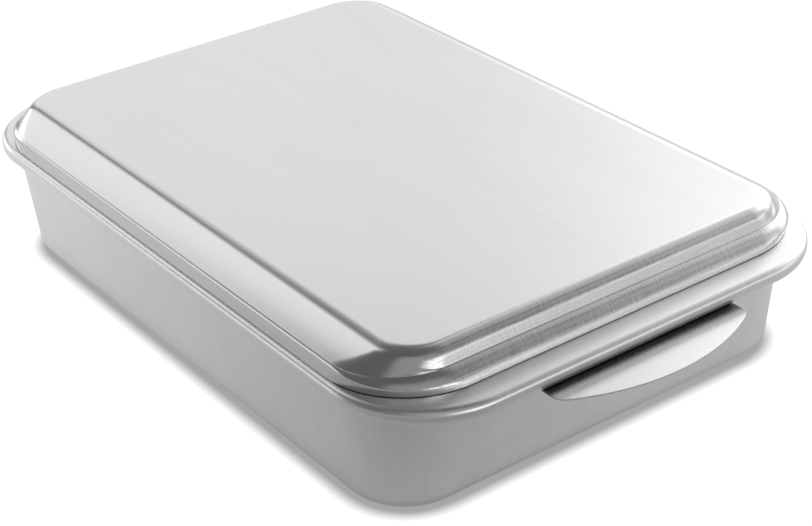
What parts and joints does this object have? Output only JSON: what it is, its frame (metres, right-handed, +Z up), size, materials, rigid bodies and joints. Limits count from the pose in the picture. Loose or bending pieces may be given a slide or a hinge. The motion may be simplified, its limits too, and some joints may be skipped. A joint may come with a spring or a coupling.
{
  "type": "covered cake pan",
  "caption": "Rectangular drawn aluminium cake pan with a rolled rim, crescent tab handles at both ends and a lift-off flat-topped cover that rests on the flange.",
  "frame": {"origin": "centre of the pan's underside, on the surface it stands on", "axes": "+X along the length, towards the end with the front handle; +Y across the width; +Z up"},
  "size_m": [0.4036, 0.2432, 0.0747],
  "materials": {
    "pan_aluminium": "satin natural aluminium with faint draw lines",
    "cover_aluminium": "satin natural aluminium, lightly brushed along the length",
    "tab_aluminium": "satin natural aluminium",
    "wire_steel": "drawn zinc-coated wire"
  },
  "bodies": {
    "pan": {"pan_body": "pan_aluminium", "rim_wire": "wire_steel", "handle_front": "tab_aluminium", "handle_back": "tab_aluminium"},
    "cover": {"lid": "cover_aluminium"}
  },
  "joints": [
    {"name": "lid_lift", "type": "slide", "parent": "pan", "child": "cover", "axis": [0, 0, 1], "range_m": [0, 0.15]}
  ]
}
